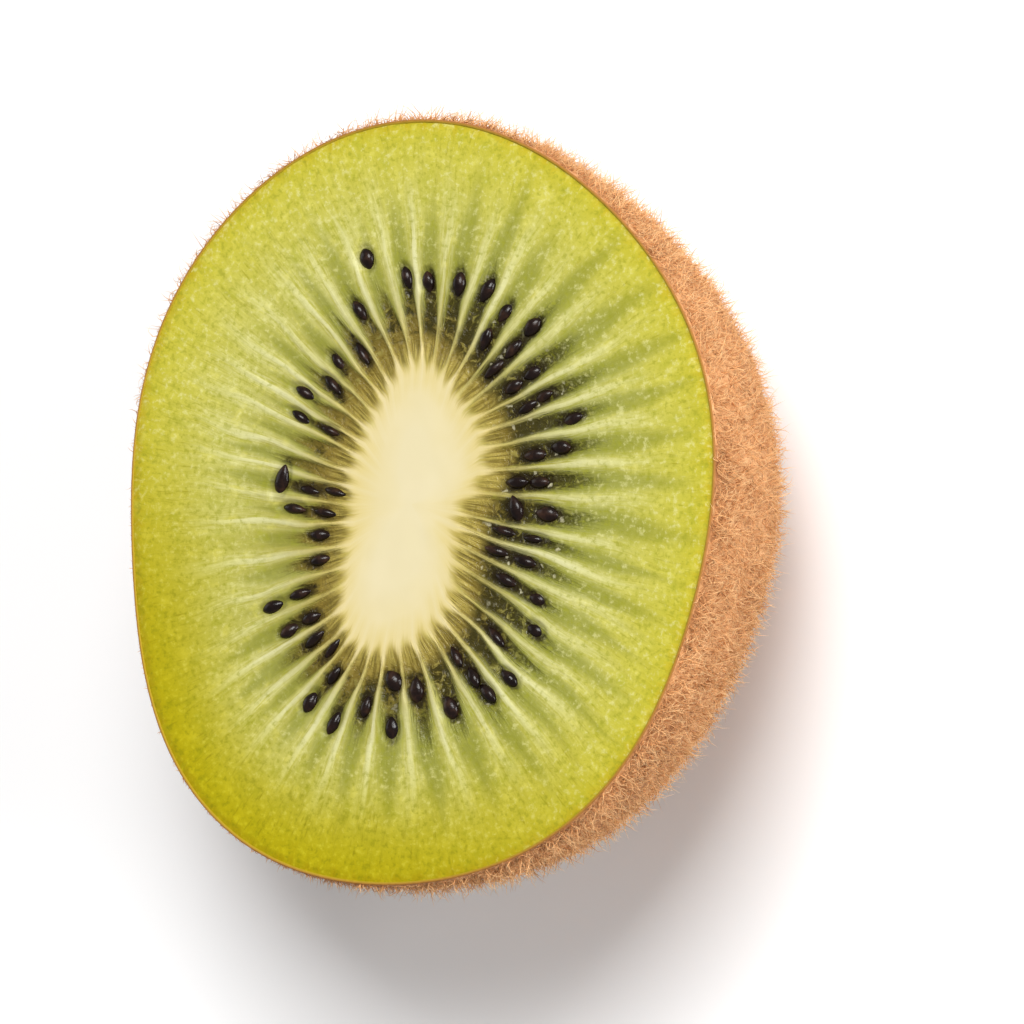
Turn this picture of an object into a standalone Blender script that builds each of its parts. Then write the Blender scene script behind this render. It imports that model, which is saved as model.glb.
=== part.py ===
"""Half of a kiwi fruit, cut across its middle and standing on its stem end with the cut face up.

Metres, +Z up. The origin is the middle of the flat spot under the stem end. X runs across the oval cut face and
Y along it. The whole half is one solid: the fruit's body, the relief of its cut face and the seeds fused into it.
"""

import math
import random

import bmesh
import bpy
from mathutils import Matrix, Vector

# Driving dimensions of the fruit
FACE_WIDTH = 0.0575
FACE_LENGTH = 0.0663
HALF_HEIGHT = 0.033
FACE_CENTRE = Vector((-0.00044, -0.00021))

# The outline's departure from a plain oval: harmonic number, cosine share and sine share of the radius
OUTLINE_LUMPS = ((3, 0.016, 0.003), (4, -0.0105, 0.0), (5, 0.0, 0.010))

# The pale core: its radius every 22.5 degrees from +X, how far it leans, and how much longer than wide it is
CORE_RADII = (0.0046, 0.0069, 0.0086, 0.0098, 0.0119, 0.0090, 0.0068, 0.0061,
              0.0056, 0.0059, 0.0082, 0.0124, 0.0118, 0.0096, 0.0062, 0.0048)
CORE_LEAN = math.radians(-8)
CORE_ASPECT = 2.25

# Pale rays run out from the core between dark seed chambers. Each row is the turn of one ray, in degrees from +X,
# and then the ways of the seeds in the chamber that follows it
RAYS_AND_SEEDS = (
    (1, 0.17, 0.26), (8, 0.23, 0.34), (16, 0.40), (23, 0.23, 0.31), (31, 0.22, 0.32), (42, 0.20, 0.31, 0.43),
    (52, 0.25, 0.39), (63, 0.41), (73, 0.37), (85, 0.34), (96, 0.36), (106, 0.49), (116, 0.33), (125, 0.20),
    (132, 0.26), (140, 0.23), (147, 0.32), (153, 0.17, 0.30), (158,), (165,), (170, 0.09, 0.21, 0.33),
    (177, 0.13, 0.27), (184, 0.15), (193, 0.14), (201, 0.23, 0.36), (208, 0.18, 0.29), (216, 0.18), (224, 0.12),
    (231, 0.19, 0.34), (241, 0.36), (251, 0.26), (263, 0.15, 0.35), (277, 0.21), (290, 0.33),
    (303, 0.17, 0.28, 0.37), (312, 0.40), (319, 0.26), (325, 0.41), (332, 0.24, 0.38), (339, 0.18, 0.30),
    (346, 0.20, 0.32), (352, 0.22, 0.35))
RAY_COUNT = len(RAYS_AND_SEEDS)
RAY_SHARE = 0.22
CHAMBER_DEPTH = 0.00032
CORE_RISE = 0.00012

# Rings of the cut face: share of the way from core to skin, and how deep the chambers are there
FACE_RINGS = ((0.03, 0.0), (0.10, 0.5), (0.17, 1.0), (0.26, 1.0), (0.35, 1.0), (0.44, 0.6), (0.56, 0.15),
              (0.74, 0.0), (0.90, 0.0), (0.985, 0.0))
FINE_WAYS = (0.10, 0.50)
CORE_RINGS = (0.45, 0.85)

# Seeds lie along their chamber with the pointed end to the core, and are slimmer in a narrow chamber
SEED_LENGTH = 0.0022
SEED_WIDTH = 0.0012
SEED_THICKNESS = 0.0010
ROOMY_CHAMBER = 0.0026
SLIMMEST_SEED = 0.68
PLUMPEST_SEED = 1.15
SEED_SIDES = 6
SEED_PROFILE = ((0.26, 0.62), (0.58, 1.0), (0.86, 0.70))
SEED_TURN_JITTER = 0.12
SEED_HEADING_JITTER = math.radians(9)
SEED_SIZE_JITTER = 0.10
SEED_LIFT = 0.00005
LAYOUT_SEED = 11

# Seeds named by their ray and way: those that lie askew, with the degrees, and those that lie deeper
ASKEW_SEEDS = {(170, 0.33): 85, (352, 0.22): -75, (263, 0.15): 40, (277, 0.21): -20}
SUNK_SEEDS = {(16, 0.40), (23, 0.23), (23, 0.31), (31, 0.32), (52, 0.39), (132, 0.26), (170, 0.21), (224, 0.12),
              (263, 0.35), (325, 0.41), (332, 0.38), (346, 0.32)}
SEED_SINK = 0.0002

# The skin side: rings from the rim down to the flat spot, gentle lumps, and the rim's small rounding
BODY_RINGS = 13
REST_SHARE = 0.22
RIM_ROUNDING = 0.00018
SKIN_LUMPS = ((3, 2, 0.0), (5, 1, 1.9), (4, 3, 4.1))
SKIN_LUMP_HEIGHT = 0.00022
COARSE_BELOW = 0.52

# The stem end: radius, height and raggedness of each ring from the lip of the dimple to the middle of the stub
STEM_RINGS = ((0.0050, 0.0, 0.0), (0.0046, 0.0007, 0.0), (0.0042, 0.0011, 0.2), (0.0037, 0.0005, 1.0),
              (0.0032, 0.0005, 1.0), (0.0028, 0.0012, 0.3), (0.0020, 0.0014, 0.0), (0.0017, 0.0007, 0.3),
              (0.0010, 0.0005, 0.3))
STEM_RAGGED = 0.00032
STEM_MIDDLE_HEIGHT = 0.0007
STEM_SEED = 5

COLUMNS = RAY_COUNT * 4

# Principled base colour, roughness and metallic value of each finish
FINISHES = {
    "kiwi_skin": ((0.42, 0.25, 0.11, 1.0), 0.85, 0.0),
    "kiwi_flesh": ((0.50, 0.50, 0.09, 1.0), 0.35, 0.0),
    "kiwi_core": ((0.88, 0.78, 0.44, 1.0), 0.40, 0.0),
    "kiwi_chamber": ((0.17, 0.16, 0.05, 1.0), 0.25, 0.0),
    "kiwi_seed": ((0.022, 0.012, 0.014, 1.0), 0.25, 0.0),
    "kiwi_stem": ((0.09, 0.055, 0.03, 1.0), 0.90, 0.0),
}
FINISH_INDEX = {name: index for index, name in enumerate(FINISHES)}


def clear_scene():
    for scene_object in list(bpy.data.objects):
        bpy.data.objects.remove(scene_object, do_unlink=True)


def make_material(name):
    colour, roughness, metallic = FINISHES[name]
    material = bpy.data.materials.new(name)
    material.use_nodes = True
    shader = material.node_tree.nodes["Principled BSDF"]
    shader.inputs["Base Color"].default_value = colour
    shader.inputs["Roughness"].default_value = roughness
    shader.inputs["Metallic"].default_value = metallic
    material.diffuse_color = colour
    return material


def skin_radius(angle):
    """Distance from the middle of the cut face to the skin: an oval with a few gentle lumps."""
    half_width = FACE_WIDTH / 2
    half_length = FACE_LENGTH / 2
    oval = half_width * half_length / math.hypot(half_length * math.cos(angle), half_width * math.sin(angle))
    lumps = sum(c * math.cos(n * angle) + s * math.sin(n * angle) for n, c, s in OUTLINE_LUMPS)
    return oval * (1 + lumps)


def core_radius(angle):
    """Distance from the middle to the core's edge: a smooth closed curve through CORE_RADII."""
    count = len(CORE_RADII)
    place = angle / math.tau * count
    index = math.floor(place)
    f = place - index
    before, start, end, after = (CORE_RADII[(index + k) % count] for k in (-1, 0, 1, 2))
    slope_in = (end - before) / 2
    slope_out = (after - start) / 2
    return (start * (2 * f**3 - 3 * f**2 + 1) + slope_in * (f**3 - 2 * f**2 + f)
            + end * (3 * f**2 - 2 * f**3) + slope_out * (f**3 - f**2))


def on_circle(radius, angle):
    return Vector((radius * math.cos(angle), radius * math.sin(angle)))


def skin_angle(turn):
    return math.atan2(FACE_LENGTH * math.sin(turn), FACE_WIDTH * math.cos(turn))


def core_edge(turn):
    """The point of the core's edge where the ray of this turn starts."""
    along = turn - CORE_LEAN
    angle = CORE_LEAN + math.atan2(CORE_ASPECT * math.sin(along), math.cos(along))
    return FACE_CENTRE + on_circle(core_radius(angle), angle)


def skin_edge(turn, share=1.0):
    """The point of the outline where the ray of this turn ends, with the outline shrunk to a share."""
    angle = skin_angle(turn)
    return FACE_CENTRE + on_circle(skin_radius(angle) * share, angle)


def face_point(turn, way):
    """A point of the cut face, way 0 at the core's edge and way 1 at the skin."""
    return core_edge(turn).lerp(skin_edge(turn), way)


def ray_turns():
    """The turn of each ray, with the first one again at the end."""
    turns = [math.radians(row[0]) for row in RAYS_AND_SEEDS]
    return turns + [turns[0] + math.tau]


def column_turns(rays):
    """Four columns for each ray: its crest, the two edges of the chamber beside it and the chamber's middle."""
    places = (0.0, RAY_SHARE, 0.5, 1.0 - RAY_SHARE)
    return [start + (end - start) * place for start, end in zip(rays, rays[1:]) for place in places]


def add_ring(mesh, turns, step, place):
    """A ring of vertices, one for every step-th column, where place gives each one's position."""
    return [mesh.verts.new(place(column, turns[column])) for column in range(0, COLUMNS, step)]


def join_rings(mesh, first, second, finish):
    """Fill between two rings, of which one may have twice the vertices of the other, with triangles."""
    few, many = sorted((first, second), key=len)
    ratio = len(many) // len(few)
    for index, corner in enumerate(few):
        next_corner = few[(index + 1) % len(few)]
        row = [many[(index * ratio + k) % len(many)] for k in range(ratio + 1)]
        turn_at = (ratio + 1) // 2
        triangles = [(corner, row[k], row[k + 1]) for k in range(turn_at)]
        triangles.append((corner, row[turn_at], next_corner))
        triangles += [(next_corner, row[k], row[k + 1]) for k in range(turn_at, ratio)]
        for triangle in triangles:
            mesh.faces.new(triangle).material_index = FINISH_INDEX[finish]


def fill_ring(mesh, ring, middle, finish):
    """Close a ring with triangles that meet in one middle vertex."""
    for index, corner in enumerate(ring):
        face = mesh.faces.new((corner, ring[(index + 1) % len(ring)], middle))
        face.material_index = FINISH_INDEX[finish]


def ring_step(way):
    """Every column where the chambers show, every second one outside them."""
    return 1 if FINE_WAYS[0] <= way <= FINE_WAYS[1] else 2


def add_cut_face(mesh, turns):
    """The cut face from the core's middle out to just inside the rim. Returns its outermost ring."""
    top = HALF_HEIGHT

    def core_place(share):
        def place(column, turn):
            return FACE_CENTRE.lerp(core_edge(turn), share).to_3d() + Vector((0, 0, top + CORE_RISE))
        return place

    def flesh_place(way, depth):
        def place(column, turn):
            sunk = 0.0 if column % 4 == 0 else CHAMBER_DEPTH * depth
            return face_point(turn, way).to_3d() + Vector((0, 0, top - sunk))
        return place

    middle = mesh.verts.new(FACE_CENTRE.to_3d() + Vector((0, 0, top + CORE_RISE)))
    ring = add_ring(mesh, turns, 4, core_place(CORE_RINGS[0]))
    fill_ring(mesh, ring, middle, "kiwi_core")
    for share in CORE_RINGS[1:]:
        next_ring = add_ring(mesh, turns, 4, core_place(share))
        join_rings(mesh, ring, next_ring, "kiwi_core")
        ring = next_ring
    for way, depth in FACE_RINGS:
        next_ring = add_ring(mesh, turns, ring_step(way), flesh_place(way, depth))
        finish = "kiwi_core" if way == FACE_RINGS[0][0] else "kiwi_chamber" if depth > 0.5 else "kiwi_flesh"
        join_rings(mesh, ring, next_ring, finish)
        ring = next_ring
    return ring


def add_skin_side(mesh, turns, ring):
    """The skin from the cut face's outer ring down to the flat spot. Returns the flat spot's outer ring."""

    def place_at(level):
        share = REST_SHARE + (1 - REST_SHARE) * math.cos(level)
        height = (HALF_HEIGHT - RIM_ROUNDING) * (1 - math.sin(level))

        def place(column, turn):
            angle = skin_angle(turn)
            lump = sum(math.sin(n * angle + m * level + phase) for n, m, phase in SKIN_LUMPS)
            fade = math.sin(2 * level)
            swollen = share + SKIN_LUMP_HEIGHT * lump * fade / (FACE_WIDTH / 2)
            return skin_edge(turn, swollen).to_3d() + Vector((0, 0, height))

        return share, place

    for index in range(BODY_RINGS):
        share, place = place_at(math.pi / 2 * index / (BODY_RINGS - 1))
        next_ring = add_ring(mesh, turns, 4 if share < COARSE_BELOW else 2, place)
        join_rings(mesh, ring, next_ring, "kiwi_skin")
        ring = next_ring
    return ring


def add_stem_end(mesh, turns, ring):
    """The dimple under the fruit, with the ragged ring of dried sepals round the stub of the stem."""
    rng = random.Random(STEM_SEED)
    for radius, height, ragged in STEM_RINGS:
        draws = [rng.uniform(-1, 1) for column in range(0, COLUMNS, 4)]

        def place(column, turn):
            draw = draws[column // 4] * ragged * STEM_RAGGED
            spot = FACE_CENTRE + on_circle(radius + 0.5 * draw, skin_angle(turn))
            return spot.to_3d() + Vector((0, 0, height + draw))

        next_ring = add_ring(mesh, turns, 4, place)
        join_rings(mesh, ring, next_ring, "kiwi_skin" if height == 0.0 else "kiwi_stem")
        ring = next_ring
    middle = mesh.verts.new(FACE_CENTRE.to_3d() + Vector((0, 0, STEM_MIDDLE_HEIGHT)))
    fill_ring(mesh, ring, middle, "kiwi_stem")


def object_from(mesh, name, collection, finishes):
    """Turn a bmesh into an object with its faces pointing out."""
    bmesh.ops.recalc_face_normals(mesh, faces=mesh.faces)
    data = bpy.data.meshes.new(name)
    mesh.to_mesh(data)
    mesh.free()
    for finish in finishes:
        data.materials.append(finish)
    made = bpy.data.objects.new(name, data)
    collection.objects.link(made)
    return made


def make_body(turns, finishes):
    """The fruit half without its seeds, as one closed mesh."""
    mesh = bmesh.new()
    ring = add_cut_face(mesh, turns)
    ring = add_skin_side(mesh, turns, ring)
    add_stem_end(mesh, turns, ring)
    return object_from(mesh, "kiwi_half", bpy.context.scene.collection, finishes)


def make_seed_mesh(finishes):
    """One seed, lying along X with its pointed end at -X: rings of a flattened oval between two tips."""
    mesh = bmesh.new()
    tips = [mesh.verts.new((SEED_LENGTH * side, 0, 0)) for side in (-0.5, 0.5)]
    rings = []
    for along, girth in SEED_PROFILE:
        ring = []
        for corner in range(SEED_SIDES):
            around = on_circle(0.5 * girth, math.tau * corner / SEED_SIDES)
            x = SEED_LENGTH * (along - 0.5)
            ring.append(mesh.verts.new((x, around.x * SEED_WIDTH, around.y * SEED_THICKNESS)))
        rings.append(ring)
    fill_ring(mesh, rings[0], tips[0], "kiwi_seed")
    for first, second in zip(rings, rings[1:]):
        join_rings(mesh, first, second, "kiwi_seed")
    fill_ring(mesh, rings[-1], tips[1], "kiwi_seed")
    bmesh.ops.recalc_face_normals(mesh, faces=mesh.faces)
    data = bpy.data.meshes.new("kiwi_seed")
    mesh.to_mesh(data)
    mesh.free()
    for finish in finishes:
        data.materials.append(finish)
    return data


def seed_places(rays):
    """Where each seed lies: its position, its heading, its shares of the full length and width, and its sink."""
    rng = random.Random(LAYOUT_SEED)
    places = []
    for (ray, *ways), start, end in zip(RAYS_AND_SEEDS, rays, rays[1:]):
        for way in ways:
            turn = (start + end) / 2 + rng.uniform(-SEED_TURN_JITTER, SEED_TURN_JITTER) * (end - start)
            spot = face_point(turn, way)
            outward = face_point(turn, 1.0) - spot
            askew = math.radians(ASKEW_SEEDS.get((ray, way), 0))
            wander = rng.uniform(-SEED_HEADING_JITTER, SEED_HEADING_JITTER)
            heading = math.atan2(outward.y, outward.x) + askew + wander
            length = 1 + rng.uniform(-SEED_SIZE_JITTER, SEED_SIZE_JITTER)
            room = (face_point(end, way) - face_point(start, way)).length / ROOMY_CHAMBER
            width = PLUMPEST_SEED if askew else min(max(room, SLIMMEST_SEED), PLUMPEST_SEED)
            sink = SEED_SINK if (ray, way) in SUNK_SEEDS else 0.0
            places.append((spot, heading, length, width, sink))
    return places


def fuse_seeds(body, rays, finishes):
    """Union every seed into the body in one Boolean and remove the loose seeds."""
    seeds = bpy.data.collections.new("seeds")
    bpy.context.scene.collection.children.link(seeds)
    data = make_seed_mesh(finishes)
    floor = HALF_HEIGHT - CHAMBER_DEPTH + SEED_LIFT
    for spot, heading, length, width, sink in seed_places(rays):
        seed = bpy.data.objects.new("seed", data)
        seed.matrix_world = (Matrix.Translation((spot.x, spot.y, floor - sink))
                             @ Matrix.Rotation(heading, 4, "Z") @ Matrix.Diagonal((length, width, 1.0, 1.0)))
        seeds.objects.link(seed)
    union = body.modifiers.new("seeds", "BOOLEAN")
    union.operation = "UNION"
    union.solver = "EXACT"
    union.operand_type = "COLLECTION"
    union.collection = seeds
    depsgraph = bpy.context.evaluated_depsgraph_get()
    fused = bpy.data.meshes.new_from_object(body.evaluated_get(depsgraph), depsgraph=depsgraph)
    body.modifiers.clear()
    plain = body.data
    body.data = fused
    bpy.data.meshes.remove(plain)
    for seed in list(seeds.objects):
        bpy.data.objects.remove(seed, do_unlink=True)
    bpy.data.collections.remove(seeds)
    bpy.data.meshes.remove(data)
    fused.name = "kiwi_half"


def main():
    clear_scene()
    finishes = [make_material(name) for name in FINISHES]
    rays = ray_turns()
    body = make_body(column_turns(rays), finishes)
    fuse_seeds(body, rays, finishes)
    body.data.shade_smooth()
    body.data.set_sharp_from_angle(angle=math.radians(40))


main()
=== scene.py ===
"""The looks of the kiwi fruit half: flesh with its rays and chambers, seeds, skin, fuzz and stem end.

Metres, +Z up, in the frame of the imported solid. The fruit stands on its stem end with the cut face up. X
runs across the oval cut face and Y along it. A turn is an angle about the core, and a way is a place on the
line at that turn: 0 at the core's edge, 1 at the skin. Colours are 8-bit sRGB, turned into linear values.
"""

import math
import random

import bpy
import numpy as np
from mathutils import Matrix, Vector, noise


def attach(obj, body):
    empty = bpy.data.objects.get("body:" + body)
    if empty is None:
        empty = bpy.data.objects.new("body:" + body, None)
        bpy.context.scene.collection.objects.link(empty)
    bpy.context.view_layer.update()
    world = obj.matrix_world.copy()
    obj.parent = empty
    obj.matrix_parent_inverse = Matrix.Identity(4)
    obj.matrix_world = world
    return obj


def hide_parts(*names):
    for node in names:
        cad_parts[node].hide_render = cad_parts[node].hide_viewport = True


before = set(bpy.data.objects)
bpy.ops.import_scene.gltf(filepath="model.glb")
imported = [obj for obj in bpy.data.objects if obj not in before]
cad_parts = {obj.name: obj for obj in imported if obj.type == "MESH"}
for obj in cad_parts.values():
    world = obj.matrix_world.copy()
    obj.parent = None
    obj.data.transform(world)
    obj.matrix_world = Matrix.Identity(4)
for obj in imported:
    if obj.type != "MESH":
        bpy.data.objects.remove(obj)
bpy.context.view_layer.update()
NODE = "kiwi_half"
BODY = "root"
MM = 0.001

# The solid's own dimensions, as in its source
FACE_WIDTH = 0.0575
FACE_LENGTH = 0.0663
HALF_HEIGHT = 0.033
FACE_CENTRE = np.array((-0.00044, -0.00021))
OUTLINE_LUMPS = ((3, 0.016, 0.003), (4, -0.0105, 0.0), (5, 0.0, 0.010))

# The core's radius at equal steps of angle, the lean of its long axis and how far that spreads the turns
CORE_RADII = np.array((0.0046, 0.0069, 0.0086, 0.0098, 0.0119, 0.0090, 0.0068, 0.0061,
                       0.0056, 0.0059, 0.0082, 0.0124, 0.0118, 0.0096, 0.0062, 0.0048))
CORE_LEAN = math.radians(-8)
CORE_ASPECT = 2.25

# Each pale ray's turn in degrees, then the way of every seed in the chamber between it and the next ray
RAYS_AND_SEEDS = (
    (1, 0.17, 0.26), (8, 0.23, 0.34), (16, 0.40), (23, 0.23, 0.31), (31, 0.22, 0.32),
    (42, 0.20, 0.31, 0.43), (52, 0.25, 0.39), (63, 0.41), (73, 0.37), (85, 0.34), (96, 0.36), (106, 0.49),
    (116, 0.33), (125, 0.20), (132, 0.26), (140, 0.23), (147, 0.32), (153, 0.17, 0.30), (158,), (165,),
    (170, 0.09, 0.21, 0.33), (177, 0.13, 0.27), (184, 0.15), (193, 0.14), (201, 0.23, 0.36),
    (208, 0.18, 0.29), (216, 0.18), (224, 0.12), (231, 0.19, 0.34), (241, 0.36), (251, 0.26),
    (263, 0.15, 0.35), (277, 0.21), (290, 0.33), (303, 0.17, 0.28, 0.37), (312, 0.40), (319, 0.26),
    (325, 0.41), (332, 0.24, 0.38), (339, 0.18, 0.30), (346, 0.20, 0.32), (352, 0.22, 0.35))
RAY_COUNT = len(RAYS_AND_SEEDS)
CHAMBER_DEPTH = 0.00032
CORE_RISE = 0.00012

# Seeds: their full size, how they vary with the room in their chamber, and the seed of their random draws
SEED_LENGTH = 0.0022
SEED_WIDTH = 0.0012
SEED_THICKNESS = 0.0010
ROOMY_CHAMBER = 0.0026
SLIMMEST_SEED = 0.68
PLUMPEST_SEED = 1.25
SEED_TURN_JITTER = 0.12
SEED_HEADING_JITTER = math.radians(9)
SEED_SIZE_JITTER = 0.10
SEED_LIFT = 0.00005
SEED_SINK = 0.0002
LAYOUT_SEED = 11

# Single seeds by ray and way: the longer ones, the ones that lie askew, by degrees, and the ones sunk in gel
LONG_SEEDS = {(170, 0.33): 1.30, (277, 0.21): 1.14, (352, 0.22): 1.10}
ASKEW_SEEDS = {(170, 0.33): 85, (352, 0.22): -75, (263, 0.15): 40, (277, 0.21): -20}
SUNK_SEEDS = {(16, 0.40), (23, 0.23), (23, 0.31), (31, 0.32), (52, 0.39), (132, 0.26), (170, 0.21),
              (224, 0.12), (263, 0.35), (325, 0.41), (332, 0.38), (346, 0.32)}

# The body under the face: the flat spot's share of the face, the lumps of the skin and the stem's dimple
REST_SHARE = 0.22
RIM_ROUNDING = 0.00018
SKIN_LUMPS = ((3, 2, 0.0), (5, 1, 1.9), (4, 3, 4.1))
SKIN_LUMP_HEIGHT = 0.00022
DIMPLE_RADIUS = 0.005
DIMPLE_DEPTH = 0.0014

# The photograph's view: where the camera stands, how the picture is rolled and how wide it is at the fruit
VIEW_AZIMUTH = math.radians(82.75)
VIEW_ELEVATION = math.radians(61)
PICTURE_UP = Vector((-0.0264, 0.9961, 0.0842))
VIEW_DISTANCE = 0.70
VIEW_WIDTH = 0.088
VIEW_TARGET = Vector((0.0045, 0.0, 0.024))


def linear(red, green, blue):
    """An 8-bit sRGB colour as linear RGBA."""
    shares = (np.array((red, green, blue)) / 255).tolist()
    return [c / 12.92 if c <= 0.04045 else ((c + 0.055) / 1.055) ** 2.4 for c in shares] + [1.0]


# Shape functions shared with the solid's source, for numbers and arrays alike

def skin_radius(angle):
    """Distance from the middle of the cut face to the skin."""
    half_width = FACE_WIDTH / 2
    half_length = FACE_LENGTH / 2
    oval = half_width * half_length / np.hypot(half_length * np.cos(angle), half_width * np.sin(angle))
    lumps = sum(c * np.cos(n * angle) + s * np.sin(n * angle) for n, c, s in OUTLINE_LUMPS)
    return oval * (1 + lumps)


def core_radius(angle):
    """Distance from the middle of the cut face to the core's edge."""
    place = np.asarray(angle) / math.tau * len(CORE_RADII)
    index = np.floor(place).astype(int)
    f = place - index
    before, start, end, after = (CORE_RADII[(index + k) % len(CORE_RADII)] for k in (-1, 0, 1, 2))
    slope_in = (end - before) / 2
    slope_out = (after - start) / 2
    return (start * (2 * f**3 - 3 * f**2 + 1) + slope_in * (f**3 - 2 * f**2 + f)
            + end * (3 * f**2 - 2 * f**3) + slope_out * (f**3 - f**2))


def on_circle(radius, angle):
    return np.stack((radius * np.cos(angle), radius * np.sin(angle)), axis=-1)


def skin_angle(turn):
    """The angle at which the line of a turn meets the skin; turns are spread evenly along the long oval."""
    return np.arctan2(FACE_LENGTH * np.sin(turn), FACE_WIDTH * np.cos(turn))


def core_edge(turn):
    """The core's edge, whose turns are spread along its long axis."""
    along = turn - CORE_LEAN
    angle = CORE_LEAN + np.arctan2(CORE_ASPECT * np.sin(along), np.cos(along))
    return FACE_CENTRE + on_circle(core_radius(angle), angle)


def skin_edge(turn, share=1.0):
    """The skin's outline, or a smaller copy of it."""
    angle = skin_angle(turn)
    return FACE_CENTRE + on_circle(skin_radius(angle) * share, angle)


def face_point(turn, way):
    """A point of the cut face, way 0 at the core's edge and way 1 at the skin."""
    inner = core_edge(turn)
    return inner + (skin_edge(turn) - inner) * np.asarray(way)[..., None]


def ray_turns():
    """The turn of each pale ray, with the first one again at the end."""
    turns = [math.radians(row[0]) for row in RAYS_AND_SEEDS]
    return turns + [turns[0] + math.tau]


def seed_places(rays):
    """Each seed's place, its heading, its shares of the full length and width, and how far it is sunk."""
    rng = random.Random(LAYOUT_SEED)
    places = []
    for (ray, *ways), start, end in zip(RAYS_AND_SEEDS, rays, rays[1:]):
        for way in ways:
            turn = (start + end) / 2 + rng.uniform(-SEED_TURN_JITTER, SEED_TURN_JITTER) * (end - start)
            spot = face_point(turn, way)
            outward = face_point(turn, 1.0) - spot
            askew = math.radians(ASKEW_SEEDS.get((ray, way), 0))
            stray = rng.uniform(-SEED_HEADING_JITTER, SEED_HEADING_JITTER)
            heading = math.atan2(outward[1], outward[0]) + askew + stray
            length = LONG_SEEDS.get((ray, way), 1.0) + rng.uniform(-SEED_SIZE_JITTER, SEED_SIZE_JITTER)
            room = math.dist(face_point(end, way), face_point(start, way)) / ROOMY_CHAMBER
            width = PLUMPEST_SEED if askew else min(max(room, SLIMMEST_SEED), PLUMPEST_SEED)
            sink = SEED_SINK if (ray, way) in SUNK_SEEDS else 0.0
            places.append((spot, heading, length, width, sink))
    return places


def smooth_step(low, high, value):
    """0 at low and 1 at high, with an even start and end; low may be the larger one."""
    share = np.clip((value - low) / (high - low), 0, 1)
    return share * share * (3 - 2 * share)


def noise_at(points, scale):
    """Smooth noise from -1 to 1 at each point, for points in any number of rows."""
    flat = (np.asarray(points) * scale).reshape(-1, 3)
    values = [noise.noise(point) for point in flat.tolist()]
    return np.array(values).reshape(np.shape(points)[:-1])


# Meshes from grids of points

def raised(flat, height):
    """Flat points at a height, or each at its own."""
    return np.concatenate((flat, np.broadcast_to(height, flat.shape[:-1])[..., None]), axis=-1)


def grid_faces(rows, columns):
    """Quads between rows of points, each row closed round."""
    row, column = np.meshgrid(np.arange(rows - 1), np.arange(columns), indexing="ij")
    beside = (column + 1) % columns
    corners = (row * columns + column, row * columns + beside,
               (row + 1) * columns + beside, (row + 1) * columns + column)
    return np.stack(corners, axis=-1).reshape(-1, 4).tolist()


def fan_faces(columns, row, middle, flip):
    """Triangles that close one row of points onto a middle point."""
    first = row * columns
    pairs = [(first + k, first + (k + 1) % columns) for k in range(columns)]
    return [(b, a, middle) if flip else (a, b, middle) for a, b in pairs]


def tube_faces(rows, columns):
    """The faces of a closed tube: its rows, and each end closed onto a point numbered after them."""
    count = rows * columns
    ends = fan_faces(columns, 0, count, True) + fan_faces(columns, rows - 1, count + 1, False)
    return grid_faces(rows, columns) + ends


def closed_piece(name, grid, start, end, uvs):
    """A closed mesh from a start point over rows of points to an end point, and all their map places."""
    points = grid.reshape(-1, 3).tolist() + [list(start), list(end)]
    piece = mesh_piece(name, points, tube_faces(*grid.shape[:2]))
    set_uvs(piece.data, np.concatenate((uvs[0].reshape(-1, 2), np.array(uvs[1:]))))
    return piece


def mesh_piece(name, points, faces):
    data = bpy.data.meshes.new(name)
    data.from_pydata(points, [], faces)
    data.shade_smooth()
    piece = bpy.data.objects.new(name, data)
    bpy.context.scene.collection.objects.link(piece)
    return piece


def set_uvs(data, places):
    """Gives every vertex its place in the bake's map."""
    layer = data.uv_layers.new(name="OFBake")
    corners = np.empty(len(data.loops), dtype=np.int32)
    data.loops.foreach_get("vertex_index", corners)
    layer.uv.foreach_set("vector", np.asarray(places, dtype=np.float32)[corners].ravel())


def set_values(data, name, values):
    """A value or vector for every vertex, for the material's nodes to read."""
    kind, field = ("FLOAT", "value") if values.ndim == 1 else ("FLOAT_VECTOR", "vector")
    layer = data.attributes.new(name, kind, "POINT")
    layer.data.foreach_set(field, np.asarray(values, dtype=np.float32).ravel())


def finish_piece(piece, material):
    """Gives a piece its material, hangs it on the body and hides the solid that it stands in for."""
    piece.data.materials.append(material)
    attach(piece, BODY)
    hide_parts(NODE)


# Materials

# How fine each pattern is, in waves or cells to a metre
BLOTCH_SCALE = 700.0
GEL_SCALE = 1300.0
GLINT_SCALE = 1250.0
GRAIN_SCALE = 1900.0
PORE_AND_HAIR_SHADE_SCALE = 1500.0
MOTTLE_SCALE = 900.0

# Painted shade on one side of the face: what the flesh's colour is multiplied by where it is warmest, darker
# and deeper yellow, as linear values
SHADED_SIDE_LINEAR = (0.76, 0.70, 0.0, 1.0)


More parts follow.
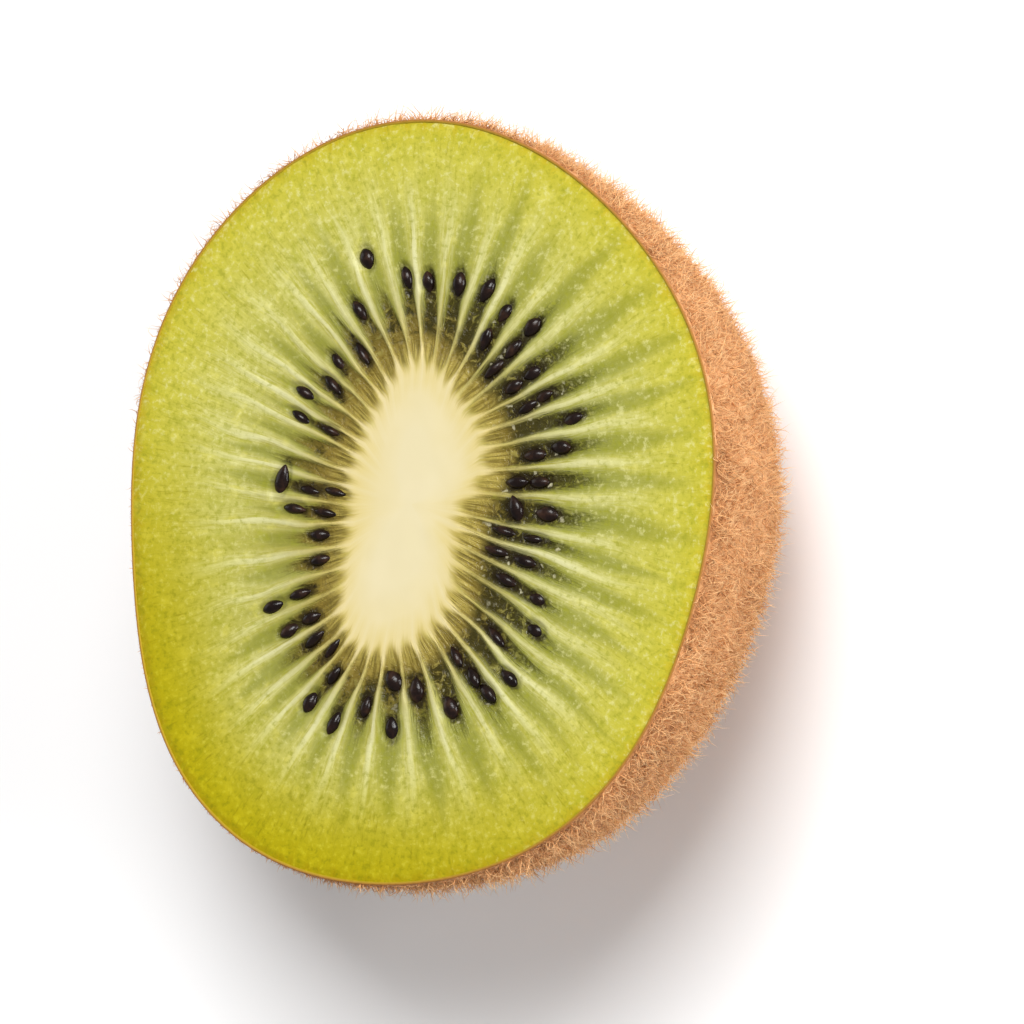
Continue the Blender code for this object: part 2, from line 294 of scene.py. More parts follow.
class Shade:
    """Adds nodes to one new material and links them; a method for one look returns its output socket."""

    def __init__(self, name, roughness, **uniform):
        self.material = bpy.data.materials.new(name)
        self.material.use_nodes = True
        self.tree = self.material.node_tree
        self.shader = self.tree.nodes["Principled BSDF"]
        self.shader.inputs["Roughness"].default_value = roughness
        for socket, value in uniform.items():
            self.shader.inputs[socket.replace("_", " ")].default_value = value

    def plug(self, socket, value):
        if isinstance(value, bpy.types.NodeSocket):
            self.tree.links.new(value, socket)
        else:
            socket.default_value = value

    def node(self, kind, inputs, **settings):
        made = self.tree.nodes.new(kind)
        for setting, value in settings.items():
            setattr(made, setting, value)
        for key, value in inputs.items():
            self.plug(made.inputs[key], value)
        return made

    def value(self, name, output="Fac"):
        return self.node("ShaderNodeAttribute", {}, attribute_name=name).outputs[output]

    def place(self):
        return self.node("ShaderNodeTexCoord", {}).outputs["Object"]

    def calc(self, operation, first, second=0.0, third=0.0):
        inputs = {0: first, 1: second, 2: third}
        return self.node("ShaderNodeMath", inputs, operation=operation).outputs[0]

    def times(self, first, *others):
        for other in others:
            first = self.calc("MULTIPLY", first, other)
        return first

    def sway(self, value, span):
        """Noise from 0 to 1 as an offset of up to half the span either way."""
        return self.calc("MULTIPLY_ADD", value, span, -span / 2)

    def remap(self, value, low, high, to_low=0.0, to_high=1.0, smooth=True):
        """Runs from to_low at low to to_high at high; low may be the larger one."""
        kind = "SMOOTHSTEP" if smooth else "LINEAR"
        inputs = {"Value": value, "From Min": low, "From Max": high, "To Min": to_low, "To Max": to_high}
        return self.node("ShaderNodeMapRange", inputs, interpolation_type=kind).outputs["Result"]

    def noise(self, place, scale, detail=2.0, rough=0.5, distortion=0.0):
        inputs = {"Vector": place, "Scale": scale, "Detail": detail, "Roughness": rough,
                  "Distortion": distortion}
        return self.node("ShaderNodeTexNoise", inputs).outputs["Fac"]

    def cells(self, place, scale):
        return self.node("ShaderNodeTexVoronoi", {"Vector": place, "Scale": scale}).outputs["Distance"]

    def mix(self, share, first, second, blend="MIX"):
        made = self.node("ShaderNodeMix", {}, data_type="RGBA", blend_type=blend)
        self.plug(made.inputs["Factor"], share)
        self.plug(made.inputs[6], first)
        self.plug(made.inputs[7], second)
        return made.outputs[2]

    def ramp(self, share, stops):
        """A colour that runs through stops of (place, sRGB colour)."""
        made = self.node("ShaderNodeValToRGB", {"Fac": share})
        elements = made.color_ramp.elements
        while len(elements) < len(stops):
            elements.new(1.0)
        for element, (place, colour) in zip(elements, stops):
            element.position = place
            element.color = linear(*colour)
        return made.outputs["Color"]

    def bump(self, height, distance, strength=1.0, under=None):
        inputs = {"Height": height, "Distance": distance, "Strength": strength}
        if under is not None:
            inputs["Normal"] = under
        return self.node("ShaderNodeBump", inputs).outputs["Normal"]

    def done(self, colour, roughness=None, normal=None):
        self.plug(self.shader.inputs["Base Color"], colour)
        for socket, value in (("Roughness", roughness), ("Normal", normal), ("Coat Normal", normal)):
            if value is not None:
                self.plug(self.shader.inputs[socket], value)
        return self.material


def flesh_ground(s, way, wavy_way, place, slow_fibre, fine_fibre):
    """Flesh away from the core: yellow-green that deepens to the skin, with streaks and blotches."""
    base = s.ramp(wavy_way, (
        (0.05, (172, 154, 80)), (0.20, (158, 145, 74)), (0.36, (162, 156, 76)), (0.50, (173, 169, 84)),
        (0.64, (180, 176, 84)), (0.78, (184, 178, 72)), (0.88, (186, 179, 65)), (0.95, (184, 175, 52)),
        (1.00, (180, 160, 26))))
    pale = s.times(s.remap(slow_fibre, 0.46, 0.66), s.remap(way, 0.95, 0.55, 0.0, 0.34))
    base = s.mix(pale, base, linear(206, 202, 128))
    streak = s.times(s.remap(fine_fibre, 0.50, 0.32), s.remap(way, 0.98, 0.80, 0.35, 1.0), 0.30)
    base = s.mix(streak, base, linear(150, 146, 44))
    blotch = s.noise(place, BLOTCH_SCALE, 3.0, 0.6)
    base = s.mix(s.remap(blotch, 0.48, 0.30, 0.0, 0.42), base, linear(157, 158, 40))
    base = s.mix(s.remap(blotch, 0.54, 0.70, 0.0, 0.35), base, linear(214, 206, 104))
    dash = s.times(s.remap(fine_fibre, 0.36, 0.26), s.remap(way, 0.60, 0.80, 0.0, 0.5))
    return s.mix(dash, base, linear(148, 140, 14))


def chamber_look(s, way, wavy_way, cell, place, fine_fibre, base):
    """Wet olive flesh round the seeds with painted glints, in a wedge between two rays; also returns the
    wedge and its gel.
    """
    part = s.calc("DIVIDE", wavy_way, s.value("reach"))
    ragged_cell = s.calc("ADD", cell, s.sway(fine_fibre, 0.6))
    tail_edge = s.remap(part, 0.75, 1.85, 0.15, 1.05, smooth=False)
    tail = s.remap(s.calc("SUBTRACT", ragged_cell, tail_edge), -0.25, 0.35)
    tail = s.times(tail, s.remap(way, 0.06, 0.20), s.remap(part, 2.0, 1.1), 0.60)
    base = s.mix(tail, base, linear(114, 119, 36))

    edge = s.remap(part, 0.35, 1.10, 0.10, 0.90, smooth=False)
    chamber = s.remap(s.calc("SUBTRACT", ragged_cell, edge), -0.20, 0.32)
    chamber = s.times(chamber, s.remap(wavy_way, 0.02, 0.10), s.remap(part, 1.15, 0.70))
    gel = s.noise(place, GEL_SCALE, 3.0, 0.65, 0.6)
    dark = s.value("dark")
    base = s.mix(s.times(chamber, 0.92), base, chamber_body(s, wavy_way, part, gel, dark))
    base = s.mix(seed_halo(s, way, gel, chamber), base, linear(34, 26, 12))
    # Painted glints: a pale highlight colour mixed into the chambers
    return s.mix(painted_glint(s, place, gel, chamber, dark), base, linear(216, 209, 174)), chamber, gel


def chamber_body(s, wavy_way, part, gel, dark):
    """A chamber's own colour: brown near the core and olive further out, with dark hollows and pale gel that
    is partly painted wet sheen.
    """
    body = s.ramp(wavy_way, ((0.02, (164, 144, 72)), (0.10, (126, 106, 44)), (0.20, (106, 90, 36)),
                             (0.38, (94, 93, 36)), (0.55, (112, 118, 46))))
    hollow = s.calc("ADD", gel, s.calc("MULTIPLY_ADD", dark, -0.30, 0.04))
    hollow = s.times(s.remap(hollow, 0.50, 0.30), s.remap(wavy_way, 0.05, 0.17),
                     s.remap(part, 0.95, 0.55, 0.35, 1.0), 0.95)
    body = s.mix(hollow, body, linear(36, 28, 8))
    # Pale gel patches: partly the gel's own colour and partly painted sheen
    return s.mix(s.remap(gel, 0.56, 0.70, 0.0, 0.50), body, linear(154, 146, 78))


def seed_halo(s, way, gel, chamber):
    """The ragged dark edge round each seed, strongest where the seed lies in its chamber."""
    halo = s.remap(s.calc("ADD", s.value("seed_mm"), s.sway(gel, 0.9)), 0.42, 0.0)
    return s.times(halo, s.remap(way, 0.05, 0.12), s.remap(chamber, 0.0, 0.8, 0.25, 0.85))


def painted_glint(s, place, gel, chamber, dark):
    """Painted highlights: small ragged glints in patches of the dark chambers, most of them by the seeds."""
    ragged_spot = s.calc("ADD", s.cells(place, GLINT_SCALE), s.sway(gel, 1.3))
    glint_patch = s.remap(s.noise(place, BLOTCH_SCALE, 1.0), 0.50, 0.58)
    by_seed = s.remap(s.value("seed_mm"), 1.4, 0.4, 0.30, 1.0)
    return s.times(s.remap(ragged_spot, 0.30, 0.10), glint_patch, chamber, dark, by_seed, 0.60)


def ray_look(s, way, wavy_way, fibre, fine_fibre, base):
    """Thin pale rays with softer strands spreading from them, each as bright as its own share says."""
    ray = s.value("ray_mm")
    spread = s.remap(way, 0.0, 0.70, 0.20, 1.00, smooth=False)
    strand = s.remap(s.calc("DIVIDE", ray, spread), 1.4, 0.1)
    strand = s.times(strand, s.remap(fine_fibre, 0.42, 0.62), s.remap(way, 0.10, 0.40),
                     s.remap(wavy_way, 0.85, 0.50), 0.50)
    base = s.mix(strand, base, linear(206, 202, 138))

    width = s.remap(way, 0.0, 0.60, 0.12, 0.27, smooth=False)
    width = s.times(width, s.calc("MULTIPLY_ADD", fibre, 3.6, -0.8))
    line = s.remap(s.calc("DIVIDE", ray, width), 1.6, 0.2)
    line = s.times(line, s.value("bright"), s.remap(wavy_way, 0.80, 0.42))
    tint = s.ramp(way, ((0.0, (206, 188, 122)), (0.09, (202, 186, 112)), (0.16, (182, 170, 106)),
                        (0.30, (193, 189, 139)), (0.45, (208, 205, 152)), (0.60, (210, 207, 146))))
    return s.mix(line, base, tint)


def core_look(s, way, cell, fibre, place, base):
    """The smooth cream core, which runs out along each ray past golden-olive hollows."""
    ripple = s.times(s.sway(fibre, 0.08), s.remap(way, -0.20, 0.0))
    spike = s.calc("POWER", s.calc("SUBTRACT", 1.0, cell), 2.0)
    spike = s.times(spike, s.value("bright"), s.remap(way, -0.15, 0.05, 0.0, 0.100))
    core_way = s.calc("SUBTRACT", s.calc("ADD", way, ripple), spike)
    olive = s.times(s.remap(way, 0.16, 0.07), s.remap(core_way, -0.02, 0.03),
                    s.remap(cell, 0.05, 0.60, 0.0, 0.82))
    hollow = s.mix(s.remap(fibre, 0.38, 0.62), linear(104, 88, 30), linear(170, 152, 74))
    base = s.mix(olive, base, hollow)
    cream = s.ramp(s.remap(core_way, -0.25, 0.02, smooth=False), (
        (0.0, (214, 202, 162)), (0.50, (213, 199, 152)), (0.80, (209, 192, 132)), (1.0, (199, 179, 104))))
    patch = s.noise(place, 260.0, 2.0)
    cream = s.mix(s.remap(patch, 0.40, 0.65, 0.0, 0.25), cream, linear(220, 208, 172))
    return s.mix(s.remap(core_way, 0.036, -0.032), base, cream)


def flesh_material():
    """Yellow-green flesh: cream core, pale rays, dark wet chambers, radial fibres and a saturated rim, with
    painted glints and painted shade on one side.
    """
    s = Shade("kiwi_flesh", 0.38, Specular_IOR_Level=0.12, Coat_Weight=0.05, Coat_Roughness=0.10)
    way = s.value("way")
    cell = s.value("cell")
    place = s.place()
    strands = s.value("fibre", "Vector")
    fibre = s.noise(strands, 1.0, 3.0, 0.55)
    slow_fibre = s.noise(strands, 0.33, 2.0, 0.5)
    fine_fibre = s.noise(strands, 2.6, 2.0, 0.6)
    wavy_way = s.calc("ADD", way, s.sway(fibre, 0.10))

    base = flesh_ground(s, way, wavy_way, place, slow_fibre, fine_fibre)
    base, chamber, gel = chamber_look(s, way, wavy_way, cell, place, fine_fibre, base)
    base = ray_look(s, way, wavy_way, fibre, fine_fibre, base)
    base = core_look(s, way, cell, fibre, place, base)

    grain = s.noise(place, GRAIN_SCALE, 3.0, 0.62)
    fleck = s.times(s.remap(grain, 0.52, 0.74), s.remap(way, 0.25, 0.60, 0.0, 0.50))
    base = s.mix(fleck, base, linear(218, 214, 148))
    speck = s.times(s.remap(grain, 0.48, 0.30), s.remap(way, 0.20, 0.55, 0.0, 0.55))
    base = s.mix(speck, base, linear(143, 144, 36))
    # Painted shade: the outer flesh is multiplied darker and deeper yellow towards the shaded side
    warm = s.times(s.value("warm"), s.remap(way, 0.38, 0.95, 0.0, 0.95))
    base = s.mix(warm, base, SHADED_SIDE_LINEAR, "MULTIPLY")

    relief = s.times(s.calc("ADD", fibre, grain), 0.5, s.remap(way, -0.02, 0.05))
    normal = s.bump(relief, 0.00012, 0.7)
    normal = s.bump(s.times(gel, chamber), 0.00030, 0.9, normal)
    return s.done(base, s.remap(chamber, 0.0, 1.0, 0.42, 0.20), normal)


def seed_material():
    """Glossy seeds, nearly black, a little browner on some and at their ends."""
    s = Shade("kiwi_seed", 0.32, Specular_IOR_Level=0.15, Coat_Weight=0.22, Coat_Roughness=0.06)
    place = s.place()
    patch = s.noise(place, 900.0, 3.0, 0.6)
    colour = s.ramp(patch, ((0.30, (15, 7, 6)), (0.52, (28, 16, 13)), (0.75, (58, 36, 24))))
    normal = s.bump(s.noise(place, 5200.0, 2.0), 0.00004, 0.5)
    return s.done(colour, s.remap(patch, 0.3, 0.8, 0.20, 0.42), normal)


def skin_material():
    """Dull tan-brown skin with darker pores that are partly painted shade under the hairs, yellow-green
    where the cut edge shows.
    """
    s = Shade("kiwi_skin", 0.8, Specular_IOR_Level=0.2)
    place = s.place()
    patch = s.noise(place, 130.0, 4.0, 0.6)
    mottle = s.noise(place, MOTTLE_SCALE, 3.0, 0.65)
    base = s.ramp(s.times(s.calc("ADD", mottle, patch), 0.5), (
        (0.34, (126, 80, 44)), (0.46, (176, 120, 74)), (0.56, (206, 150, 100)), (0.68, (228, 174, 124))))
    # Dark specks: pores, and painted shade under the hairs
    pore_and_hair_shade = s.cells(place, PORE_AND_HAIR_SHADE_SCALE)
    base = s.mix(s.remap(pore_and_hair_shade, 0.36, 0.10, 0.0, 0.55), base, linear(104, 62, 34))
    rim = s.value("rim")
    edge = s.ramp(rim, ((0.0, (160, 108, 60)), (0.40, (158, 110, 46)), (1.0, (166, 142, 30))))
    base = s.mix(s.remap(rim, 0.0, 0.12), base, edge)
    normal = s.bump(mottle, 0.00012, 0.7)
    normal = s.bump(pore_and_hair_shade, 0.00010, 0.6, normal)
    return s.done(base, s.remap(patch, 0.3, 0.7, 0.72, 0.88), normal)


def fuzz_material():
    """Orange-brown hairs, darker at the root and paler at the tip, each a little different; their brightness
    and pale tips are partly painted light shining through them.
    """
    s = Shade("kiwi_fuzz", 0.60, Specular_IOR_Level=0.3)
    along_and_kind = s.node("ShaderNodeUVMap", {}, uv_map="OFBake").outputs["UV"]
    parts = s.node("ShaderNodeSeparateXYZ", {0: along_and_kind})
    along = parts.outputs["X"]
    kind = parts.outputs["Y"]
    # Bright colours and pale tips: the hairs' own colour with painted light shining through them
    warm = s.ramp(along, ((0.0, (184, 120, 68)), (0.30, (234, 172, 112)), (1.0, (255, 218, 164))))
    brown = s.ramp(along, ((0.0, (156, 100, 56)), (0.5, (202, 142, 88)), (1.0, (238, 186, 128))))
    return s.done(s.mix(s.remap(kind, 0.45, 0.95), warm, brown))


def calyx_material():
    """Dried sepals and stem: dark brown and fibrous."""
    s = Shade("kiwi_calyx", 0.85)
    place = s.place()
    patch = s.noise(place, 700.0, 4.0, 0.7)
    colour = s.ramp(patch, ((0.30, (44, 30, 20)), (0.50, (84, 60, 38)), (0.72, (138, 104, 68))))
    return s.done(colour, normal=s.bump(s.noise(place, 2600.0, 3.0), 0.00015, 0.8))


# The cut face and the flesh under it

# Rows and columns of the mesh, and how far the flesh reaches, as shares of the skin's outline
COLUMNS_PER_RAY = 12
CORE_ROWS = 18
FACE_ROWS = 118
SIDE_ROWS = 12
FLESH_REACH = 0.993
FLESH_SIDE_SHARE = 0.986
FLESH_FLOOR = 0.0020

# Fibres across the room of a ray and along a way, and how far and how often a ray strays from its line
FIBRES_PER_RAY = 7
FIBRES_ALONG = 5.0
RAY_WANDER = math.radians(1.2)
RAY_WANDER_SEED = 40.0
RAY_WANDER_STEP = 3.7
RAY_BENDS = 4.0
RAY_STRAIGHT_WAY = 0.25

# Relief of the face, with the waves to a metre of its noise
FIBRE_RELIEF = 0.000035
GEL_RELIEF = 0.00005
GEL_RELIEF_SCALE = 1700
CORE_RELIEF = 0.15 * CORE_RISE
CORE_RELIEF_SCALE = 600
RAY_RELIEF = 0.00006
RAY_HALF_WIDTH_MM = 0.20
RIM_DROOP = 0.00012
SEED_POCKET = 0.00028
SEED_POCKET_MM = 0.35
FAR_MM = 9.0

# How far out the chambers reach and how dark they are: the middle value, its swing to +X and its jitter
CHAMBER_REACH = 0.45
CHAMBER_REACH_SWING = 0.13
CHAMBER_REACH_JITTER = 0.05
CHAMBER_DARKNESS = 0.45
CHAMBER_DARKNESS_SWING = 0.45
CHAMBER_DARKNESS_JITTER = 0.2
CHAMBER_DARK_TURN = math.radians(5)
CHAMBER_SEED = 3
RAY_BRIGHTNESS = (0.30, 1.0)
# Towards -Y and a little -X: the side of the face where the outer flesh gets painted shade
SHADED_SIDE_DIRECTION = np.array((-0.50, -0.87))

# The map for baked textures: the width of the face that it holds, the side's rings and the unseen end
BAKE_SPAN = 0.078
BAKE_SIDE_STEP = 0.003
BAKE_MIDDLE = (0.5, 0.5)
BAKE_CORNER = (0.999, 0.999)
BAKE_MARGIN = 0.02


def seed_distance(points, seeds):
    """How far each point lies from the nearest seed's outline, in millimetres."""
    nearest = np.full(points.shape[:-1], FAR_MM)
    for spot, heading, length, width, _ in seeds:
        offset = points - spot
        forward = offset[..., 0] * math.cos(heading) + offset[..., 1] * math.sin(heading)
        sideways = offset[..., 1] * math.cos(heading) - offset[..., 0] * math.sin(heading)
        half_width = SEED_WIDTH * width / 2
        reach = np.hypot(forward / (SEED_LENGTH * length / 2), sideways / half_width)
        nearest = np.minimum(nearest, (reach - 1) * half_width / MM)
    return np.maximum(nearest, 0)


def wander(ray, way):
    """How far a ray strays from its straight line at each way."""
    own_line = np.full(way.shape, RAY_WANDER_SEED + RAY_WANDER_STEP * ray)
    stray = noise_at(np.stack((own_line, way * RAY_BENDS, np.zeros(way.shape)), axis=-1), 1.0)
    return RAY_WANDER * stray * smooth_step(0.0, RAY_STRAIGHT_WAY, way)


def face_grid(rays):
    """The cut face to its rim: points, their ways, columns' shares from ray to ray, and the rim's turns."""
    share = np.arange(COLUMNS_PER_RAY) / COLUMNS_PER_RAY
    ways = np.linspace(0, 1, FACE_ROWS) * FLESH_REACH
    lines = np.stack([rays[ray] + wander(ray, ways) for ray in range(RAY_COUNT)], axis=-1)
    next_lines = np.roll(lines, -1, axis=-1)
    next_lines[:, -1] += math.tau
    turn = (lines[..., None] * (1 - share) + next_lines[..., None] * share).reshape(FACE_ROWS, -1)
    flesh = face_point(turn, np.broadcast_to(ways[:, None], turn.shape))
    inward = np.linspace(0, 1, CORE_ROWS + 1)[1:-1, None]
    edge = core_edge(turn[0])
    core = FACE_CENTRE + (edge - FACE_CENTRE)[None] * inward[..., None]
    depth = np.linalg.norm(edge - FACE_CENTRE, axis=-1) / np.linalg.norm(skin_edge(turn[0]) - edge, axis=-1)
    way = np.concatenate(((inward - 1) * depth, np.broadcast_to(ways[:, None], turn.shape)))
    return np.concatenate((core, flesh)), way, np.tile(share, RAY_COUNT), turn[-1]


def chamber_character(rays):
    """For every column: how far out its chamber reaches, how dark it is, and how bright its ray is."""
    rng = random.Random(CHAMBER_SEED)
    reach = []
    dark = []
    bright = [rng.uniform(*RAY_BRIGHTNESS) for _ in rays]
    for start, end in zip(rays, rays[1:]):
        towards = math.cos((start + end) / 2 - CHAMBER_DARK_TURN)
        jitter = rng.uniform(-1, 1) * CHAMBER_REACH_JITTER
        reach.append(CHAMBER_REACH + CHAMBER_REACH_SWING * towards + jitter)
        jitter = rng.uniform(-1, 1) * CHAMBER_DARKNESS_JITTER
        dark.append(min(max(CHAMBER_DARKNESS + CHAMBER_DARKNESS_SWING * towards + jitter, 0), 1))
    half = COLUMNS_PER_RAY // 2
    bright = np.roll(np.repeat(bright[:-1], COLUMNS_PER_RAY), -half)
    return np.repeat(reach, COLUMNS_PER_RAY), np.repeat(dark, COLUMNS_PER_RAY), bright


def chamber_depth(way, cell, reach):
    """The share of the full depth at each point: a wedge between two rays that closes towards the skin."""
    part = way / reach
    edge = 0.12 + 0.93 * np.clip((part - 0.4) / 0.6, 0, 1)
    wedge = smooth_step(-0.15, 0.30, cell - edge)
    return wedge * smooth_step(0.03, 0.12, way) * smooth_step(1.25, 0.9, part)


def face_height(flat, way, fibre, chamber, ray_mm, seed_mm):
    """The height of every point of the cut face: core, rays, fibres, gel, seed pockets and rim."""
    spots = raised(flat, 0.0)
    in_flesh = smooth_step(0.0, 0.08, way)
    crest = np.exp(-(ray_mm / RAY_HALF_WIDTH_MM) ** 2) * in_flesh * smooth_step(0.75, 0.4, way)
    height = HALF_HEIGHT + CORE_RISE * (1 - in_flesh) + CORE_RELIEF * noise_at(spots, CORE_RELIEF_SCALE)
    height += (FIBRE_RELIEF * noise_at(fibre, 1.0) + RAY_RELIEF * crest) * in_flesh
    height += (GEL_RELIEF * noise_at(spots, GEL_RELIEF_SCALE) - CHAMBER_DEPTH) * chamber
    height -= RIM_DROOP * smooth_step(0.95, FLESH_REACH, way)
    height -= SEED_POCKET * smooth_step(SEED_POCKET_MM, 0, seed_mm) * (1 - chamber)
    return height


def set_face_values(piece, values):
    """Gives the flesh its values: each is set for the face, and its last row goes on down the side."""
    for name, (on_face, in_middle) in values.items():
        below = np.broadcast_to(on_face[-1], (SIDE_ROWS,) + on_face.shape[1:])
        whole = np.concatenate((on_face, below)).reshape((-1,) + on_face.shape[2:])
        set_values(piece.data, name, np.concatenate((whole, [in_middle, whole[-1]])))


def make_flesh(rays, seeds, material):
    """The flesh: the cut face's relief on top and a plain side and base inside the skin."""
    flat, way, share, rim_turn = face_grid(rays)
    cell = np.broadcast_to(np.minimum(share, 1 - share) * 2, way.shape)
    spacing = np.linalg.norm(np.roll(flat, -COLUMNS_PER_RAY, axis=1) - flat, axis=-1)
    ray_mm = cell / 2 * spacing / MM
    seed_mm = seed_distance(flat, seeds)
    reach, dark, bright = chamber_character(rays)
    chamber = chamber_depth(way, cell, reach)
    columns = flat.shape[1]
    around = np.arange(columns) / columns * math.tau
    fibre = np.empty(way.shape + (3,))
    fibre[..., :2] = on_circle(RAY_COUNT * FIBRES_PER_RAY / math.tau, around)
    fibre[..., 2] = way * FIBRES_ALONG
    top = raised(flat, face_height(flat, way, fibre, chamber, ray_mm, seed_mm))

    levels = np.linspace(0, math.pi / 2, SIDE_ROWS + 1)[1:]
    side = np.stack([body_ring(rim_turn, level, FLESH_SIDE_SHARE) for level in levels])
    side[..., 2] = np.maximum(side[..., 2], FLESH_FLOOR)
    grid = np.concatenate((top, side))
    offset = flat - FACE_CENTRE
    outwards = np.linalg.norm(offset, axis=-1)
    low = np.broadcast_to(FACE_LENGTH / 2 + (levels * BAKE_SIDE_STEP)[:, None], side.shape[:-1])
    heading = np.arctan2(grid[..., 1] - FACE_CENTRE[1], grid[..., 0] - FACE_CENTRE[0])
    uvs = 0.5 + on_circle(np.concatenate((outwards, low)) / BAKE_SPAN, heading)
    start = (*FACE_CENTRE, HALF_HEIGHT + CORE_RISE)
    end = (*FACE_CENTRE, FLESH_FLOOR)
    piece = closed_piece("kiwi_flesh", grid, start, end, (uvs, BAKE_MIDDLE, BAKE_CORNER))
    piece.data.flip_normals()

    # Painted shade: how far each point lies towards the shaded side, kept in the warm attribute
    warm = smooth_step(0.05, 1.0, offset @ SHADED_SIDE_DIRECTION / np.maximum(outwards, MM))
    set_face_values(piece, {
        "way": (way, way[0].mean()), "cell": (cell, 1.0), "ray_mm": (ray_mm, 1.0), "warm": (warm, 0.0),
        "seed_mm": (seed_mm, FAR_MM), "fibre": (fibre, np.zeros(3)),
        "reach": (np.broadcast_to(reach, way.shape), CHAMBER_REACH),
        "dark": (np.broadcast_to(dark, way.shape), 0.5),
        "bright": (np.broadcast_to(bright, way.shape), 0.5)})
    finish_piece(piece, material)


# Seeds

SEED_SIDES = 16
SEED_ROWS = 12
SEED_LOOK_SEED = 8
SEED_LOOK_SINK = 0.00012
SEED_FULLEST = 1.12
SEED_BLUNTNESS = 0.62
SEED_TILT = 0.20
SEED_ROLL = 0.35
SEED_GIRTH_RANGE = (0.92, 1.06)


def make_seeds(seeds, material):
    """Every seed in one mesh: a flattened drop with its pointed end to the core."""
    rng = random.Random(SEED_LOOK_SEED)
    along = (1 - np.cos(np.linspace(0, math.pi, SEED_ROWS + 2)[1:-1])) / 2
    girth = np.sin(math.pi * along ** SEED_FULLEST) ** SEED_BLUNTNESS
    corner = np.arange(SEED_SIDES) * math.tau / SEED_SIDES
    grid = np.empty((SEED_ROWS, SEED_SIDES, 3))
    grid[..., 0] = (along[:, None] - 0.5) * SEED_LENGTH
    grid[..., 1] = girth[:, None] * np.cos(corner) * SEED_WIDTH / 2
    grid[..., 2] = girth[:, None] * np.sin(corner) * SEED_THICKNESS / 2
    ends = np.array(((-SEED_LENGTH / 2, 0, 0), (SEED_LENGTH / 2, 0, 0)))
    one = np.concatenate((grid.reshape(-1, 3), ends))
    count = len(one)
    faces = tube_faces(SEED_ROWS, SEED_SIDES)
    all_points = []
    all_faces = []
    floor = HALF_HEIGHT - CHAMBER_DEPTH + SEED_LIFT
    for index, (spot, heading, length, width, sink) in enumerate(seeds):
        tilt = Matrix.Rotation(rng.uniform(-SEED_TILT, SEED_TILT), 4, "Y")
        tilt = tilt @ Matrix.Rotation(rng.uniform(-SEED_ROLL, SEED_ROLL), 4, "X")
        depth = sink + rng.uniform(0, SEED_LOOK_SINK)
        size = Matrix.Diagonal((length, width * rng.uniform(*SEED_GIRTH_RANGE), 1.0, 1.0))
        place = Matrix.Translation((*spot, floor - depth)) @ Matrix.Rotation(heading, 4, "Z") @ tilt @ size
        matrix = np.array(place)
        all_points.append(one @ matrix[:3, :3].T + matrix[:3, 3])
        all_faces += [tuple(index * count + number for number in face) for face in faces]
    piece = mesh_piece("kiwi_seeds", np.concatenate(all_points).tolist(), all_faces)
    columns = np.tile(np.linspace(BAKE_MARGIN, 1 - BAKE_MARGIN, count), len(seeds))
    rows = np.repeat((np.arange(len(seeds)) + 0.5) / len(seeds), count)
    set_uvs(piece.data, np.stack((columns, rows), axis=-1))
    finish_piece(piece, material)


# Skin

SKIN_COLUMNS = 336
SKIN_ROWS = 96
DIMPLE_ROWS = 14
INNER_ROWS = 8
INNER_FIRST_LEVEL = 0.02
INNER_LOWEST = DIMPLE_DEPTH * 1.3
DIMPLE_CLOSING = 0.97
SKIN_THICKNESS = 0.0004
SKIN_LOWEST = 0.00002

# The cut edge of the skin, from inside out: shares of its outline, and how far it lies under the face
RIM_SHARES = (0.991, 0.9935, 0.996, 0.9985)
RIM_FALL = (0.00006, 0.00001, 0.0, 0.00002)
RIM_OUTSIDE = 0.25

# Relief of the skin, with the waves to a metre of its coarse and fine noise
SKIN_RELIEF = 0.00005
SKIN_COARSE_SCALE = 900
SKIN_FINE_SCALE = 2300
SKIN_FINE_SHARE = 0.6


def body_ring(turn, level, inset=1.0):
    """A ring of points round the body: level 0 at the rim and a quarter turn at the flat spot."""
    share = REST_SHARE + (1 - REST_SHARE) * math.cos(level)
    lump = sum(np.sin(n * skin_angle(turn) + m * level + phase) for n, m, phase in SKIN_LUMPS)
    swollen = share + SKIN_LUMP_HEIGHT * lump * math.sin(2 * level) / (FACE_WIDTH / 2)
    return raised(skin_edge(turn, swollen * inset), (HALF_HEIGHT - RIM_ROUNDING) * (1 - math.sin(level)))


def flat_ring(turn, radius, height):
    """A level ring of points round the middle of the face, at any height."""
    return raised(FACE_CENTRE + on_circle(radius, skin_angle(turn)), height)


def rough_outside(turn):
    """The skin's outer side from the rim to the flat spot, with its uneven relief."""
    outer = np.stack([body_ring(turn, level) for level in np.linspace(0, math.pi / 2, SKIN_ROWS)])
    relief = noise_at(outer, SKIN_COARSE_SCALE) + SKIN_FINE_SHARE * noise_at(outer, SKIN_FINE_SCALE)
    away = outer - np.array((*FACE_CENTRE, HALF_HEIGHT))
    away /= np.linalg.norm(away, axis=-1, keepdims=True)
    fade = np.sin(np.linspace(0, math.pi, SKIN_ROWS)) ** 0.5
    outer += away * (SKIN_RELIEF * relief * fade[:, None])[..., None]
    outer[..., 2] = np.maximum(outer[..., 2], SKIN_LOWEST)
    return outer


